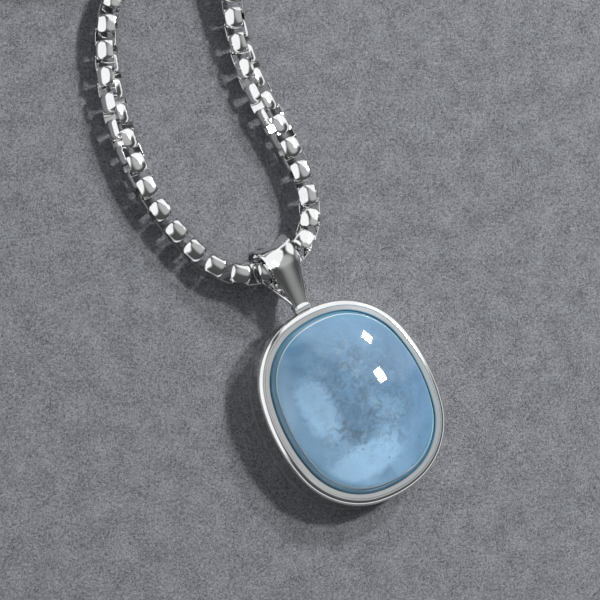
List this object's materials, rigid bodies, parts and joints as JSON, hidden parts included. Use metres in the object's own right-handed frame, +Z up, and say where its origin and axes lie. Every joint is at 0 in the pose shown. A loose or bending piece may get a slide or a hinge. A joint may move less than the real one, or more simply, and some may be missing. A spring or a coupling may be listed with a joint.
{
  "type": "pendant necklace",
  "caption": "Pendant necklace: an oval blue cabochon in a polished bezel, hung by a tapered bail on a rounded box chain with a spring-ring clasp.",
  "frame": {"origin": "centre of the pendant's box in X and Y, on the plane its flat back rests on", "axes": "+X across the pendant; +Y from the stone towards the bail; +Z up, out through the stone's dome"},
  "size_m": [0.0315, 0.0949, 0.0068],
  "materials": {
    "stone": "polished stone",
    "setting_silver": "mirror polish",
    "chain_silver": "polished",
    "clasp_silver": "polished",
    "steel": "drawn"
  },
  "bodies": {
    "chain_centre": {"chain_centre": "chain_silver"},
    "pendant": {"cabochon": "stone", "bezel_frame": "setting_silver", "bearing_ring": "setting_silver", "back_plate": "setting_silver", "bail": "setting_silver", "bail_tab": "setting_silver"},
    "left_strand_1": {"left_strand_1": "chain_silver"},
    "left_strand_2": {"left_strand_2": "chain_silver"},
    "left_coil": {"left_coil_1": "chain_silver", "left_coil_2": "chain_silver", "left_coil_3": "chain_silver", "left_coil_4": "chain_silver", "left_coil_5": "chain_silver", "left_coil_6": "chain_silver", "left_coil_7": "chain_silver"},
    "right_strand_1": {"right_strand_1": "chain_silver"},
    "right_strand_2": {"right_strand_2": "chain_silver"},
    "right_coil": {"right_coil_1": "chain_silver", "right_coil_2": "chain_silver", "right_coil_3": "chain_silver", "right_coil_4": "chain_silver", "right_coil_5": "chain_silver", "right_coil_6": "chain_silver"},
    "end_ring": {"end_ring": "clasp_silver"},
    "clasp_ring": {"clasp_ring": "clasp_silver"},
    "clasp": {"clasp_eye": "clasp_silver", "clasp_body": "clasp_silver", "clasp_spring": "steel"},
    "clasp_bolt": {"clasp_bolt": "steel"}
  },
  "joints": [
    {"name": "pendant_swing", "type": "hinge", "parent": "chain_centre", "child": "pendant", "pos_m": [0, 0.01231, 0.0027], "axis": [-1, 0, 0], "range_deg": [0, 100]},
    {"name": "left_bend_1", "type": "hinge", "parent": "chain_centre", "child": "left_strand_1", "pos_m": [-0.00444, 0.01381, 0.00218], "axis": [0, 0, 1], "range_deg": [-3, 8]},
    {"name": "left_bend_2", "type": "hinge", "parent": "left_strand_1", "child": "left_strand_2", "pos_m": [-0.00844, 0.02675, 0.00149], "axis": [0, 0, 1], "range_deg": [-3, 8]},
    {"name": "left_bend_3", "type": "hinge", "parent": "left_strand_2", "child": "left_coil", "pos_m": [-0.0024, 0.04482, 0.00151], "axis": [0, 0, 1], "range_deg": [-3, 8]},
    {"name": "right_bend_1", "type": "hinge", "parent": "chain_centre", "child": "right_strand_1", "pos_m": [0.00458, 0.01349, 0.0022], "axis": [0, 0, 1], "range_deg": [-8, 3]},
    {"name": "right_bend_2", "type": "hinge", "parent": "right_strand_1", "child": "right_strand_2", "pos_m": [0.00789, 0.02492, 0.00145], "axis": [0, 0, 1], "range_deg": [-8, 3]},
    {"name": "right_bend_3", "type": "hinge", "parent": "right_strand_2", "child": "right_coil", "pos_m": [0.01065, 0.04116, 0.00229], "axis": [0, 0, 1], "range_deg": [-8, 3]},
    {"name": "end_ring_swing", "type": "hinge", "parent": "left_coil", "child": "end_ring", "pos_m": [0.00012, 0.0702, 0.00135], "axis": [0, 0, 1], "range_deg": [-3, 8]},
    {"name": "clasp_ring_swing", "type": "hinge", "parent": "right_coil", "child": "clasp_ring", "pos_m": [0.01079, 0.06738, 0.00435], "axis": [0, 0, 1], "range_deg": [-15, 8]},
    {"name": "clasp_swing", "type": "hinge", "parent": "clasp_ring", "child": "clasp", "pos_m": [0.00883, 0.06793, 0.00372], "axis": [0.0685, 0.9976, 0], "range_deg": [0, 50]},
    {"name": "clasp_open", "type": "hinge", "parent": "clasp", "child": "clasp_bolt", "pos_m": [0.00474, 0.06822, 0.00372], "axis": [0, 0, 1], "range_deg": [0, 50], "stiffness_Nm_per_rad": 0.00012, "springref_deg": -28.65, "deforming": ["clasp_spring"]}
  ]
}
